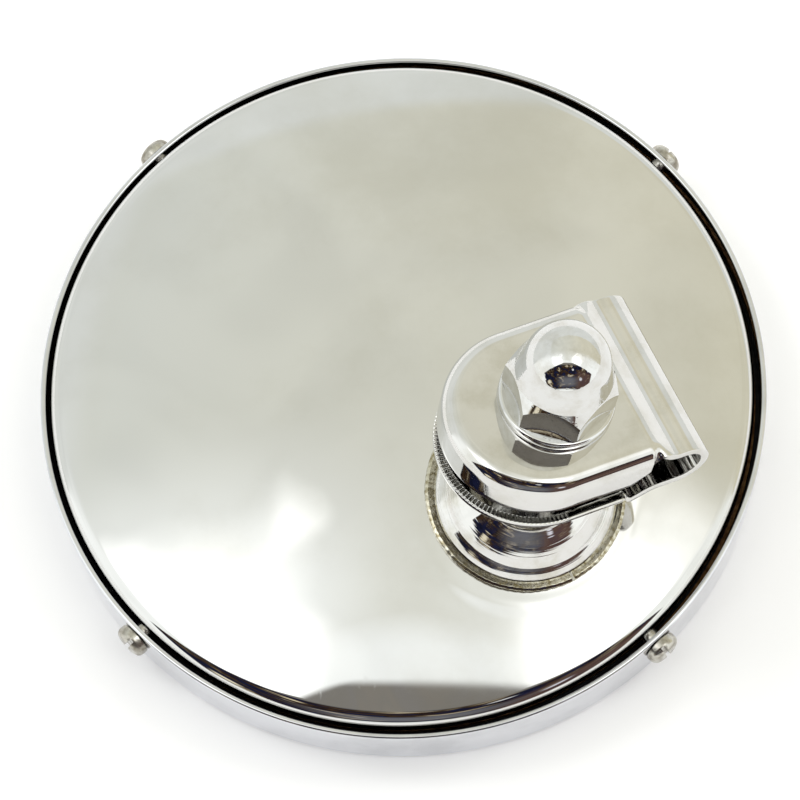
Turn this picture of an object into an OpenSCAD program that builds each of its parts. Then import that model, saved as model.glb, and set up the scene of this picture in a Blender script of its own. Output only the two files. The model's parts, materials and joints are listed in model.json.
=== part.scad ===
// Round clip-on rear-view mirror, lying glass down with its back shell up.
// Origin: centre of the rim, on the rim's front (lowest) face. +Z up, millimetres.

/* [Rim and glass] */
// Outer radius of the rim
rim_r = 63.5; // [55:0.5:75]
// Height of the rim's wall
rim_h = 12; // [11.5:0.5:14]
// Thickness of the rim's sheet
rim_t = 1; // [0.8:0.1:1.4]
// Inner radius of the front lip that holds the glass
lip_r = 60.2; // [50:0.2:60.6]
// Thickness of the mirror glass
glass_t = 2.5; // [2:0.1:2.6]

/* [Back shell] */
// Outer radius of the shell's skirt, inside the rim
skirt_r = 61.6; // [53:0.1:61.7]
// How far the shell sits off centre in the rim
shell_shift = -0.25; // [-0.4:0.05:0.4]
// Radius of the domed back
dome_r = 187; // [160:1:260]
// Radius of the rounded shoulder at the shell's edge
shoulder_r = 3.2; // [2.5:0.1:4]
// Thickness of the shell's sheet
shell_t = 1; // [0.7:0.1:1.2]

/* [Rim screws] */
// Number of screws round the rim
screw_count = 4; // [3:1:6]
// Height of the screws above the front face
screw_z = 8.4; // [8.4:0.1:8.8]
// Diameter of a screw's head
screw_head_d = 6; // [5:0.1:6.6]
// Height of a screw's head
screw_head_h = 2.3; // [2:0.1:3]
// Diameter of a screw's shank
screw_d = 3; // [2.5:0.1:3.4]

/* [Ball joint] */
// Distance of the ball housing from the middle of the shell
housing_offset = 31.2; // [25:0.1:34]
// Direction of the ball housing from the middle of the shell
housing_angle = -45; // [-90:1:0]
// Outer radius of the split seat ring
seat_ring_r = 17.3; // [16.6:0.1:18]
// Radius of the housing's flange
flange_r = 15.7; // [15:0.1:16.2]
// Radius of the foot of the housing's dome
housing_foot_r = 13.9; // [13.5:0.1:14.3]
// Radius of the ball
ball_r = 7; // [6.8:0.05:7.1]
// Height of the ball's centre above the shell
ball_h = 3.5; // [3.3:0.1:3.7]
// Turn of the ball in its housing, as the mirror lies
swivel = 127; // [-180:1:180]
// Tilt of the stud from the housing's axis, as the mirror lies
tilt = 16.7; // [0:0.1:22]
// Turn of the clamp about the stud, as the mirror lies
clamp_turn = 303; // [0:1:360]

/* [Clamp strap] */
// Width of the strap
strap_w = 31.75; // [28:0.25:34]
// Thickness of the strap's sheet
strap_t = 1.5; // [1.2:0.1:1.6]
// Height over both jaws
strap_h = 14.3; // [14:0.1:15]
// Height of the lower jaw's underside above the ball's centre
jaw_z = 16.4; // [16.2:0.1:18]
// Reach from the stud's axis to the outside of the fold
eye_reach = 22; // [21.5:0.1:26]
// Radius of the bar that the eye holds
bar_r = 3.5; // [3.2:0.1:3.8]
// Distance from the stud's axis to the centre of the jaws' round end
round_offset = 3.2; // [2:0.1:5]
// Length of the top jaw's turned-down skirt, below its shoulder
skirt_drop = 5; // [4:0.1:5.6]

/* [Nut and stud] */
// Radius of the stud's thread
stud_r = 4.75; // [4:0.05:4.8]
// Thickness of the plain washer
washer_t = 1.6; // [1.2:0.1:2]
// Radius of the plain washer
washer_r = 9.8; // [9:0.1:11]
// Radius of the nut's hexagon over its corners
hex_r = 9.6; // [9.2:0.1:10.2]
// Turn of the hexagon about the stud
hex_turn = 25; // [0:1:59]
// Radius of the nut's dome
nut_dome_r = 7.4; // [7.2:0.05:7.6]

/* [Hidden] */
$fn = 96;
fine_fn = 32;
eps = 0.01;

// Running clearance between parts that turn on each other
running = 0.08;

// Layers inside the rim, from the front face up
gasket_t = 0.5;
glass_z = rim_t + gasket_t;
card_t = 0.8;
card_z = glass_z + glass_t;
packing_t = 1;
packing_z = card_z + card_t;
skirt_z = packing_z + packing_t;
rim_bore_r = rim_r - rim_t;
rim_edge_r = 0.4;
rim_corner_r = 1.4;
glass_r = rim_bore_r - 0.8;
glass_bevel = 0.4;

// Dome of the shell: its sphere touches the shoulder's arc
shoulder_z = rim_h - 1;
arc_r = skirt_r - shoulder_r;
dome_z = shoulder_z - sqrt(pow(dome_r - shoulder_r, 2) - pow(arc_r, 2));
dome_edge_angle = asin(arc_r / (dome_r - shoulder_r));

// Screws
screw_length = 6;
screw_gap = 0.08;
slot_w = 0.8;
slot_depth = 0.9;
clinch_r = 2.3;
clinch_t = 2.2;
// Turn of each screw's slot
function slot_turn(k) = [90, 0, 75, 100][k % 4];

// Ball housing, along its own axis from the shell's surface
housing_tilt = asin(housing_offset / dome_r);
seat_ring_t = 0.6;
seat_ring_split = 0.5;
flange_z = 2.7;
housing_dome_r = 16.5;
housing_dome_z = flange_z - sqrt(pow(housing_dome_r, 2) - pow(housing_foot_r, 2));
mouth_r = 6;
mouth_top_r = 7.2;
mouth_lip_r = 8.2;
mouth_top_z = 9.3;
spigot_r = 11;
spigot_z = -8.6;
cavity_r = 8.6;
seat_z = -4.3;
seat_top_z = 0.6;
spring_t = 0.5;
spring_z = -5.9;
plug_t = 2.6;
ring_nut_r = 15.5;
ring_nut_t = 3;
ring_nut_top = -2.9;
backing_r = 16;
// Gap that keeps the washer clear of the shell's slightly flat facets
washer_gap = 0.06;

// Ball stud, along its own axis from the ball's centre
neck_r = 3.6;
collar_r = 8;
collar_t = 3.6;
tooth_washer_t = 0.6;
tooth_washer_r = 8.6;
tooth_count = 16;
washer_z = jaw_z + strap_h;
nut_z = washer_z + washer_t;
stud_top = nut_z + 11.6;

// Nut, from its seat
hex_flat_z = 4.5;
cone_top_r = 8.2;
cone_top_z = 6.7;
nut_dome_z = 9.7;
nut_dome_start = 12;
thread_depth = 13;

// Clamp strap
strap_r = strap_w / 2;
eye_r = bar_r + strap_t;
eye_x = eye_reach - eye_r;
low_step = 1.9;
eye_z = jaw_z + low_step + eye_r;
top_z = jaw_z + strap_h;
top_step = top_z - eye_z - eye_r;
shoulder_out = 2.9;
jaw_lip_h = 2.2;
jaw_edge_out = 1.2;
top_step_x = 11.5;
top_step_run = 4;
low_step_x = 7.5;
low_step_run = 6;
skirt_full_x = 7.5;
skirt_end_x = 14.5;
lip_end_x = 7;
plate_inset = 3.2;

// Points on an arc in the plane, from angle a to angle b
function arc(x, y, r, a, b, n = 12) =
    [for (i = [0:n]) [x + r * cos(a + (b - a) * i / n), y + r * sin(a + (b - a) * i / n)]];

// ---------- places ----------

// On the shell, at the ball housing, with the housing's axis up
module at_housing() {
    translate([shell_shift, 0, dome_z])
        rotate([0, housing_tilt, housing_angle])
            translate([0, 0, dome_r])
                children();
}

// At the ball's centre, with the stud's axis up
module on_stud() {
    at_housing()
        translate([0, 0, ball_h])
            rotate([0, 0, swivel])
                rotate([0, tilt, 0])
                    children();
}

// At the ball's centre, with the strap's length along X
module on_clamp() {
    on_stud()
        rotate([0, 0, clamp_turn])
            children();
}

// At each rim screw, with the screw's axis up and outwards, from the rim's own axis
module at_screws() {
    for (k = [0:screw_count - 1])
        rotate([0, 0, 45 + k * 360 / screw_count])
            translate([0, 0, screw_z])
                rotate([0, 90, 0])
                    rotate([0, 0, slot_turn(k)])
                        children();
}

// ---------- rim, glass and packing ----------

// Chromed rim: a wall with a lip turned in at the front
module rim() {
    color("gainsboro")
        difference() {
            rotate_extrude($fn = 180)
                polygon(concat(
                    [[lip_r, 0]],
                    arc(rim_r - rim_corner_r, rim_corner_r, rim_corner_r, -90, 0),
                    arc(rim_r - rim_edge_r, rim_h - rim_edge_r, rim_edge_r, 0, 90, 4),
                    [[rim_bore_r, rim_h], [rim_bore_r, rim_t], [lip_r, rim_t]]));
            at_screws()
                translate([0, 0, rim_bore_r - 2])
                    cylinder(h = 5, r = screw_d / 2 + 0.1, $fn = fine_fn);
        }
}

// Rubber ring of L section between the glass and the rim
module glass_gasket() {
    color("dimgray")
        rotate_extrude($fn = 180)
            polygon([[lip_r + 0.4, rim_t], [rim_bore_r, rim_t], [rim_bore_r, card_z],
                     [glass_r, card_z], [glass_r, glass_z], [lip_r + 0.4, glass_z]]);
}

// Flat silvered glass with bevelled edges
module mirror_glass() {
    color("lightsteelblue")
        rotate_extrude($fn = 180)
            polygon([[0, glass_z], [glass_r - glass_bevel, glass_z],
                     [glass_r, glass_z + glass_bevel], [glass_r, card_z - glass_bevel],
                     [glass_r - glass_bevel, card_z], [0, card_z]]);
}

// Card disc behind the glass
module backing_card() {
    color("tan")
        translate([0, 0, card_z])
            cylinder(h = card_t, r = glass_r);
}

// Cork ring that the shell presses on
module packing_ring() {
    color("burlywood")
        translate([0, 0, packing_z])
            difference() {
                cylinder(h = packing_t, r = glass_r);
                translate([0, 0, -1])
                    cylinder(h = packing_t + 2, r = glass_r - 3.5);
            }
}

// ---------- back shell and its screws ----------

// Outline of the shell's section, thinner than the outside by inset
function shell_section(inset) = concat(
    [[0, skirt_z], [skirt_r - inset, skirt_z]],
    arc(arc_r, shoulder_z, shoulder_r - inset, 0, 90 - dome_edge_angle, 10),
    arc(0, dome_z, dome_r - inset, 90 - dome_edge_angle, 90, 16));

// Domed shell with a rounded shoulder and a skirt that drops into the rim
module back_shell() {
    color("silver")
        difference() {
            translate([shell_shift, 0, 0])
                rotate_extrude($fn = 180)
                    difference() {
                        polygon(shell_section(0));
                        translate([0, -eps])
                            polygon(shell_section(shell_t));
                    }
            at_housing()
                translate([0, 0, -6])
                    cylinder(h = 12, r = spigot_r + 0.1);
            at_screws()
                translate([0, 0, skirt_r - 3])
                    cylinder(h = 5, r = screw_d / 2 + 0.1, $fn = fine_fn);
        }
}

// One slotted pan-head screw, its head's seat at height 0 and its shank below
module rim_screw() {
    crown_r = 1.25;
    difference() {
        union() {
            rotate_extrude($fn = 48)
                polygon(concat(
                    [[0, 0], [screw_head_d / 2, 0]],
                    arc(screw_head_d / 2 - crown_r, screw_head_h - crown_r - 0.15, crown_r, 0, 80, 8),
                    [[0, screw_head_h]]));
            translate([0, 0, -screw_length])
                cylinder(h = screw_length + eps, r = screw_d / 2, $fn = fine_fn);
        }
        translate([0, 0, screw_head_h - slot_depth / 2 + 0.5])
            cube([slot_w, screw_head_d + 2, slot_depth + 1], center = true);
    }
}

// The screws that hold the shell in the rim
module rim_screws() {
    color("lightgray")
        at_screws()
            translate([0, 0, rim_r + screw_gap])
                rim_screw();
}

// Round clinch nuts fixed inside the shell's skirt
module clinch_nuts() {
    color("darkkhaki")
        difference() {
            at_screws()
                translate([0, 0, skirt_r - shell_t - clinch_t - 0.3])
                    difference() {
                        cylinder(h = clinch_t + 0.7, r = clinch_r, $fn = fine_fn);
                        translate([0, 0, -1])
                            cylinder(h = clinch_t + 3, r = screw_d / 2, $fn = fine_fn);
                    }
            translate([shell_shift, 0, 0])
                difference() {
                    cylinder(h = rim_h * 2, r = rim_r + 5, $fn = 180);
                    translate([0, 0, -1])
                        cylinder(h = rim_h * 2 + 2, r = skirt_r - shell_t, $fn = 180);
                }
        }
}

// ---------- ball joint ----------

// Height of the shell's outside, or of a surface below it, at a distance from the housing's axis
function shell_drop(r, depth = 0) = sqrt(pow(dome_r - depth, 2) - r * r) - dome_r;

// Split ring, flat on top and dished underneath, that beds the housing on the shell
module seat_ring() {
    inner = spigot_r + 0.1;
    steps = 4;
    color("darkkhaki")
        at_housing()
            difference() {
                rotate_extrude()
                    polygon(concat(
                        [for (i = [0:steps])
                            let (r = inner + (seat_ring_r - inner) * i / steps)
                            [r, shell_drop(r)]],
                        [[seat_ring_r, seat_ring_t], [inner, seat_ring_t]]));
                rotate([0, 0, -15])
                    translate([seat_ring_r, 0, 0])
                        cube([14, seat_ring_split, 10], center = true);
            }
}

// Turned housing: flange, dome with a ball socket in it, and a spigot through the shell
module ball_housing() {
    socket_r = ball_r + running;
    mouth_z = ball_h + sqrt(pow(socket_r, 2) - pow(mouth_r, 2));
    mouth_angle = asin((mouth_z - ball_h) / socket_r);
    lip_angle = acos(mouth_lip_r / housing_dome_r);
    foot_angle = acos(housing_foot_r / housing_dome_r);
    color("silver")
        at_housing()
            rotate_extrude($fn = 128)
                polygon(concat(
                    [[cavity_r, spigot_z], [spigot_r, spigot_z], [spigot_r, seat_ring_t],
                     [flange_r, seat_ring_t]],
                    [[flange_r, 0.95], [flange_r - 0.15, 1.2], [flange_r - 0.8, 2.02],
                     [flange_r - 1.45, 2.6], [flange_r - 1.6, flange_z]],
                    arc(0, housing_dome_z, housing_dome_r, foot_angle, lip_angle, 14),
                    [[mouth_lip_r, mouth_top_z], [mouth_top_r, mouth_top_z]],
                    arc(0, ball_h, socket_r, mouth_angle, 0, 14),
                    [[cavity_r, ball_h]]));
}

// Cup under the ball, dished to fit it
module ball_seat() {
    color("goldenrod")
        at_housing()
            difference() {
                translate([0, 0, seat_z])
                    cylinder(h = seat_top_z - seat_z, r = cavity_r - running);
                translate([0, 0, ball_h])
                    sphere(r = ball_r + running);
                translate([0, 0, seat_z - 1])
                    cylinder(h = 3, r = 2.5);
            }
}

// Two coned spring discs, back to back, that press the cup up
module disc_springs() {
    rise = (seat_z - spring_z) / 2 - spring_t;
    outer = cavity_r - 0.4;
    inner = 3.5;
    color("dimgray")
        at_housing()
            for (side = [0, 1])
                translate([0, 0, (seat_z + spring_z) / 2])
                    mirror([0, 0, side])
                        rotate_extrude()
                            polygon([[outer, 0], [outer, spring_t], [inner, spring_t + rise],
                                     [inner, rise]]);
}

// Threaded plug that loads the springs, with two spanner holes
module adjuster_plug() {
    color("darkkhaki")
        at_housing()
            difference() {
                translate([0, 0, spring_z - plug_t])
                    cylinder(h = plug_t, r = cavity_r);
                for (side = [-1, 1])
                    translate([side * 5, 0, spring_z - plug_t - 1])
                        cylinder(h = plug_t + 2, r = 1.2, $fn = fine_fn);
            }
}

// Washer inside the shell, domed on top to fit it
module backing_washer() {
    inner = spigot_r + 0.1;
    steps = 4;
    color("lightgray")
        at_housing()
            rotate_extrude()
                polygon(concat(
                    [[inner, ring_nut_top], [backing_r, ring_nut_top]],
                    [for (i = [steps:-1:0])
                        let (r = inner + (backing_r - inner) * i / steps)
                        [r, shell_drop(r, shell_t + washer_gap)]]));
}

// Slotted ring nut on the spigot, which pulls the housing down on the shell
module ring_nut() {
    color("darkkhaki")
        at_housing()
            difference() {
                translate([0, 0, ring_nut_top - ring_nut_t])
                    cylinder(h = ring_nut_t, r = ring_nut_r);
                translate([0, 0, ring_nut_top - ring_nut_t - 1])
                    cylinder(h = ring_nut_t + 2, r = spigot_r);
                for (k = [0:3])
                    rotate([0, 0, k * 90])
                        translate([ring_nut_r, 0, ring_nut_top])
                            cube([3, 3, 10], center = true);
            }
}

// Ball, neck, collar and threaded stud in one piece
module ball_stud() {
    chamfer = 1;
    collar_top = jaw_z - tooth_washer_t;
    collar_low = collar_top - collar_t;
    neck_angle = acos(neck_r / ball_r);
    color("silver")
        on_stud()
            rotate_extrude()
                polygon(concat(
                    arc(0, 0, ball_r, -90, neck_angle, 24),
                    arc(neck_r + 3, collar_low - 3, 3, 180, 110, 6),
                    arc(collar_r - 0.6, collar_low + 0.6, 0.6, -90, 0, 4),
                    arc(collar_r - 0.6, collar_top - 0.6, 0.6, 0, 90, 4),
                    [[stud_r, collar_top], [stud_r, stud_top - chamfer],
                     [stud_r - chamfer, stud_top], [0, stud_top]]));
}

// Toothed washer that stops the strap turning on the collar
module tooth_washer() {
    color("lightgray")
        on_stud()
            translate([0, 0, jaw_z - tooth_washer_t])
                difference() {
                    cylinder(h = tooth_washer_t, r = tooth_washer_r);
                    translate([0, 0, -1])
                        cylinder(h = 3, r = stud_r + 0.2);
                    for (k = [0:tooth_count - 1])
                        rotate([0, 0, k * 360 / tooth_count])
                            translate([tooth_washer_r, 0, 0])
                                cube([3, 1, 3], center = true);
                }
}

// ---------- clamp strap ----------

// Outline of a jaw, drawn in from its edge, from its round end to the length given
module jaw_outline(inset, length) {
    translate([-round_offset, 0])
        circle(r = strap_r - inset);
    translate([-round_offset, -strap_r + inset])
        square([round_offset + length, 2 * (strap_r - inset)]);
}

// Carries an edge section round the jaw's end and along both its sides.
// The section's X is the distance from the jaw's centre line, its Y the height.
module jaw_edge(length) {
    translate([-round_offset, 0, 0])
        rotate([0, 0, 90])
            rotate_extrude(angle = 180)
                children();
    for (side = [0, 1])
        mirror([0, side, 0])
            translate([length, 0, 0])
                rotate([90, 0, -90])
                    linear_extrude(height = length + round_offset)
                        mirror([1, 0])
                            children();
}

// Section of the top jaw's shoulder and turned-down skirt
module top_edge_section() {
    low = top_z - shoulder_out - skirt_drop;
    polygon(concat(
        [[strap_r - strap_t, low], [strap_r, low]],
        arc(strap_r - shoulder_out, top_z - shoulder_out, shoulder_out, 0, 90, 8),
        [[strap_r - plate_inset - eps, top_z], [strap_r - plate_inset - eps, top_z - strap_t]],
        arc(strap_r - shoulder_out, top_z - shoulder_out, shoulder_out - strap_t, 90, 0, 6)));
}

// Section of the lower jaw's rounded edge and turned-up lip
module low_edge_section() {
    polygon(concat(
        [[strap_r - plate_inset - eps, jaw_z]],
        arc(strap_r - jaw_edge_out, jaw_z + jaw_edge_out, jaw_edge_out, -90, 0, 5),
        [[strap_r, jaw_z + jaw_lip_h], [strap_r - strap_t, jaw_z + jaw_lip_h],
         [strap_r - strap_t, jaw_z + strap_t], [strap_r - plate_inset - eps, jaw_z + strap_t]]));
}

// Height of a smooth step of height 1, at a share of its run
function eased(share) = (1 - cos(180 * share)) / 2;

// Side view of the fold: the eye's half ring, and the steps up to the top jaw and down to the lower
module fold_section() {
    crest = eye_z + eye_r;
    translate([eye_x, eye_z])
        difference() {
            circle(r = eye_r);
            circle(r = bar_r);
            translate([-2 * eye_r, -2 * eye_r])
                square([2 * eye_r, 4 * eye_r]);
        }
    high = concat(
        [[eye_x + eps, crest]],
        [for (i = [10:-1:0])
            [top_step_x + top_step_run * i / 10, top_z - top_step * eased(i / 10)]]);
    polygon(concat(high, [for (i = [11:-1:0]) [high[i].x, high[i].y - strap_t]]));
    low = concat(
        [[eye_x + eps, jaw_z + low_step]],
        [for (i = [10:-1:0])
            [low_step_x + low_step_run * i / 10, jaw_z + low_step * eased(i / 10)]]);
    polygon(concat(low, [for (i = [11:-1:0]) [low[i].x, low[i].y + strap_t]]));
}

// One strip of sheet folded round the bar, with two jaws on the stud
module clamp_strap() {
    color("silver")
        on_clamp()
            difference() {
                union() {
                    rotate([90, 0, 0])
                        linear_extrude(height = strap_w, center = true)
                            fold_section();
                    translate([0, 0, jaw_z])
                        linear_extrude(height = strap_t)
                            union() {
                                jaw_outline(plate_inset, lip_end_x);
                                translate([lip_end_x - eps, -strap_r])
                                    square([low_step_x - lip_end_x + 2 * eps, strap_w]);
                            }
                    translate([0, 0, top_z - strap_t])
                        linear_extrude(height = strap_t)
                            union() {
                                jaw_outline(plate_inset, top_step_x);
                                translate([skirt_full_x, -strap_r])
                                    square([top_step_x - skirt_full_x + eps, strap_w]);
                            }
                    jaw_edge(lip_end_x)
                        low_edge_section();
                    jaw_edge(skirt_full_x)
                        top_edge_section();
                    skirt_ramp();
                }
                translate([0, 0, jaw_z - 1])
                    cylinder(h = strap_h + 2, r = stud_r + 0.1);
            }
}

// Slanted end of the skirt, where it runs out towards the eye
module skirt_ramp() {
    low = top_z - shoulder_out - skirt_drop;
    end_z = top_z - top_step * eased((skirt_end_x - top_step_x) / top_step_run);
    for (side = [0, 1])
        mirror([0, side, 0])
            translate([0, strap_r, 0])
                rotate([90, 0, 0])
                    linear_extrude(height = strap_t)
                        polygon([[skirt_full_x - eps, low], [skirt_end_x, end_z - strap_t],
                                 [skirt_end_x, end_z - eps], [top_step_x + 1, top_z - 0.5],
                                 [top_step_x, top_z - eps], [skirt_full_x - eps, top_z - eps]]);
}

// ---------- washer and nut ----------

// Plain washer with rounded edges
module plain_washer() {
    edge = 0.5;
    color("gainsboro")
        on_stud()
            translate([0, 0, washer_z])
                rotate_extrude()
                    polygon(concat(
                        [[stud_r + 0.25, 0]],
                        arc(washer_r - edge, edge, edge, -90, 0, 4),
                        arc(washer_r - edge, washer_t - edge, edge, 0, 90, 4),
                        [[stud_r + 0.25, washer_t]]));
}

// Tall acorn nut: a hexagon cut by a cone, with a round dome on top and a blind thread
module acorn_nut() {
    color("gainsboro")
        on_stud()
            translate([0, 0, nut_z])
                difference() {
                    intersection() {
                        rotate([0, 0, hex_turn])
                            cylinder(h = 30, r = hex_r, $fn = 6);
                        rotate_extrude()
                            polygon(concat(
                                [[0, 0], [hex_r - 1, 0], [hex_r + eps, 0.6],
                                 [hex_r + eps, hex_flat_z], [cone_top_r, cone_top_z]],
                                arc(0, nut_dome_z, nut_dome_r, nut_dome_start, 90, 18)));
                    }
                    translate([0, 0, -1])
                        cylinder(h = thread_depth + 1, r = stud_r + running);
                }
}

rim();
glass_gasket();
mirror_glass();
backing_card();
packing_ring();
back_shell();
rim_screws();
clinch_nuts();
seat_ring();
ball_housing();
ball_seat();
disc_springs();
adjuster_plug();
backing_washer();
ring_nut();
ball_stud();
tooth_washer();
clamp_strap();
plain_washer();
acorn_nut();
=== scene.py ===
"""A round clip-on rear-view mirror, glass down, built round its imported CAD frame.

Sizes in the panel are millimetres; meshes are in metres, in the frame's own axes.
"""

import json
import math

import bmesh
import bpy
import numpy as np
from mathutils import Matrix, Vector


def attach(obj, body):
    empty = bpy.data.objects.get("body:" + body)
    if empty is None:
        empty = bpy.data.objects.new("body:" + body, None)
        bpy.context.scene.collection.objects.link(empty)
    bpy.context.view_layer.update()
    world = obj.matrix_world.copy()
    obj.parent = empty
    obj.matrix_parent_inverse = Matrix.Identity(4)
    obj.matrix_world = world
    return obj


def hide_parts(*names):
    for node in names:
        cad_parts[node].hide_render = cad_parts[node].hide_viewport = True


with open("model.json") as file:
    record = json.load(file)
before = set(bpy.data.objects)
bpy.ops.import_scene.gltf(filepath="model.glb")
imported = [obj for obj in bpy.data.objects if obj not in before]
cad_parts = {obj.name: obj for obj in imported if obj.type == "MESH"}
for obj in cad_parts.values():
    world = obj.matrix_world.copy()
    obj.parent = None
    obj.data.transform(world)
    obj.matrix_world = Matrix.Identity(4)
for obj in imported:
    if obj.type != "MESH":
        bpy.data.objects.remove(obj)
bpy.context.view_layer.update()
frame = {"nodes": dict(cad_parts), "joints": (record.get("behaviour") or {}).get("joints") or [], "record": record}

bl_info = {
    "name": "Clip-on rear-view mirror",
    "version": (1, 0, 0),
    "blender": (4, 5, 0),
    "location": "3D View > Sidebar > Mirror",
    "description": "Rim, domed back, ball joint, folded clamp and acorn nut, each with its own finish",
    "category": "Add Mesh",
}

MM = 0.001
# Angle between two faces, in degrees, past which their edge stays sharp
CREASE = 32.0
JOINTS = {joint["name"]: joint for joint in frame["joints"]}
MOUNTS = {mount["name"]: mount for mount in frame["record"]["mounts"]}


# ---------- places ----------


def unit(v):
    """The vector divided by its length."""
    v = np.asarray(v, float)
    return v / np.linalg.norm(v)


def axes_from(z, y):
    """Three columns: x is y cross z, y is made square to z, and z is kept."""
    z = unit(z)
    y = unit(np.asarray(y, float) - np.dot(y, z) * z)
    return np.stack([np.cross(y, z), y, z], axis=1)


BALL = np.array(JOINTS["swivel"]["pos_m"]) / MM
HOUSING_AXIS = unit(JOINTS["swivel"]["axis"])
STUD_AXIS = unit(JOINTS["clamp_turn"]["axis"])
HOUSING = axes_from(HOUSING_AXIS, np.cross([0, 0, 1], HOUSING_AXIS))
STUD = axes_from(STUD_AXIS, JOINTS["tilt"]["axis"])
STRAP = axes_from(STUD_AXIS, MOUNTS["bar_eye"]["axis"])


def placed(points, origin, axes):
    """Local points carried to the row's frame: origin plus the axes times the point."""
    return np.asarray(origin) + points @ np.asarray(axes).T


# ---------- shapes ----------


def rounded(corners, steps=8):
    """A closed outline with its corners rounded.

    Each row is x, y and a radius. The arc's centre lies on the corner's bisector, the radius over
    the sine of the half angle away, and the arc is its first tangent point turned about that
    centre in equal steps. A corner of no radius gives its own point.
    """
    corners = np.asarray(corners, float)
    p, r = corners[:, :2], corners[:, 2:3]
    back = np.roll(p, 1, axis=0) - p
    ahead = np.roll(p, -1, axis=0) - p
    back /= np.linalg.norm(back, axis=1, keepdims=True)
    ahead /= np.linalg.norm(ahead, axis=1, keepdims=True)
    half = np.arccos(np.clip((back * ahead).sum(1, keepdims=True), -0.999999, 0.999999)) / 2
    middle = back + ahead
    middle /= np.maximum(np.linalg.norm(middle, axis=1, keepdims=True), 1e-9)
    centre = p + middle * r / np.sin(half)
    arm = p + back * r / np.tan(half) - centre
    side = np.sign(back[:, :1] * ahead[:, 1:] - back[:, 1:] * ahead[:, :1])
    turn = -side * (math.pi - 2 * half) * np.linspace(0, 1, steps + 1)
    x = centre[:, :1] + arm[:, :1] * np.cos(turn) - arm[:, 1:] * np.sin(turn)
    y = centre[:, 1:] + arm[:, :1] * np.sin(turn) + arm[:, 1:] * np.cos(turn)
    path = np.stack([x.ravel(), y.ravel()], axis=1)
    keep = np.linalg.norm(path - np.roll(path, 1, axis=0), axis=1) > 1e-6
    return path[keep]


def arc(x, y, r, start, end, steps=12, corner=0.0):
    """Rows of a circle's points from one angle to another, in degrees, ready for rounded()."""
    a = np.radians(np.linspace(start, end, steps + 1))
    return np.stack([x + r * np.cos(a), y + r * np.sin(a), np.full(steps + 1, corner)], axis=1)


def grid_faces(rows, columns, wrap_rows=False, wrap_columns=False):
    """Quads between neighbouring points of a grid, closed round where asked."""
    i = np.arange(rows if wrap_rows else rows - 1)
    j = np.arange(columns if wrap_columns else columns - 1)
    i, j = np.meshgrid(i, j, indexing="ij")
    i2, j2 = (i + 1) % rows, (j + 1) % columns
    quads = np.stack([i * columns + j, i2 * columns + j, i2 * columns + j2, i * columns + j2], axis=-1)
    return quads.reshape(-1, 4)


def revolve(profile, around=256, closed=True):
    """A profile of radius and height turned about Z: x = r cos a, y = r sin a, z = height."""
    a = np.linspace(0, 2 * math.pi, around, endpoint=False)[:, None]
    r, z = profile[None, :, 0], profile[None, :, 1]
    points = np.stack([r * np.cos(a), r * np.sin(a), z + 0 * a], axis=-1)
    return points.reshape(-1, 3), grid_faces(around, len(profile), True, closed)


def new_mesh(name, points, faces, crease=CREASE):
    """A mesh from points in millimetres: doubles merged, normals outwards, smooth but for creases.

    The faces are an array of quads, or a list where some have more corners.
    """
    mesh = bpy.data.meshes.new(name)
    mesh.from_pydata((points * MM).tolist(), [], faces if isinstance(faces, list) else faces.tolist())
    shape = bmesh.new()
    shape.from_mesh(mesh)
    bmesh.ops.remove_doubles(shape, verts=shape.verts, dist=2e-7)
    bmesh.ops.dissolve_degenerate(shape, edges=shape.edges, dist=1e-8)
    bmesh.ops.recalc_face_normals(shape, faces=shape.faces)
    shape.to_mesh(mesh)
    shape.free()
    mesh.shade_smooth()
    mesh.set_sharp_from_angle(angle=math.radians(crease))
    return mesh


def add_piece(name, mesh, material, body, slot, *nodes):
    """Puts a mesh in the scene with its finish, on its body, in place of its CAD nodes."""
    obj = bpy.data.objects.new(name, mesh)
    bpy.context.scene.collection.objects.link(obj)
    mesh.materials.clear()
    mesh.materials.append(material)
    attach(obj, body)
    if nodes:
        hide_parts(*nodes)
    return obj


def cut(obj, points, faces):
    """Takes the solid with these points away from a piece, and keeps the result as its mesh."""
    tool = bpy.data.objects.new("cutter", new_mesh("cutter", points, faces))
    bpy.context.scene.collection.objects.link(tool)
    modifier = obj.modifiers.new("cut", "BOOLEAN")
    modifier.operation = "DIFFERENCE"
    modifier.solver = "EXACT"
    modifier.object = tool
    bpy.context.view_layer.update()
    done = bpy.data.meshes.new_from_object(obj.evaluated_get(bpy.context.evaluated_depsgraph_get()))
    obj.modifiers.clear()
    old = obj.data
    done.name = old.name
    obj.data = done
    bpy.data.meshes.remove(old)
    bpy.data.objects.remove(tool)
    done.shade_smooth()
    done.set_sharp_from_angle(angle=math.radians(CREASE))


def soften(obj, width, segments=3, angle=CREASE):
    """Rounds a piece's creases with a bevel of this width in millimetres."""
    bevel = obj.modifiers.new("soft edges", "BEVEL")
    bevel.width = width * MM
    bevel.segments = segments
    bevel.limit_method = "ANGLE"
    bevel.angle_limit = math.radians(angle)
    bevel.use_clamp_overlap = True


# ---------- finishes ----------


# Settings that many nodes share
SMOOTH = {"interpolation_type": "SMOOTHSTEP"}
COLOURS = {"data_type": "RGBA"}


def linear(code):
    """An sRGB hex colour as linear red, green, blue and full alpha."""
    values = np.array([int(code[i : i + 2], 16) for i in (1, 3, 5)]) / 255
    low = values / 12.92
    high = ((values + 0.055) / 1.055) ** 2.4
    return (*np.where(values <= 0.04045, low, high).tolist(), 1.0)


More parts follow.
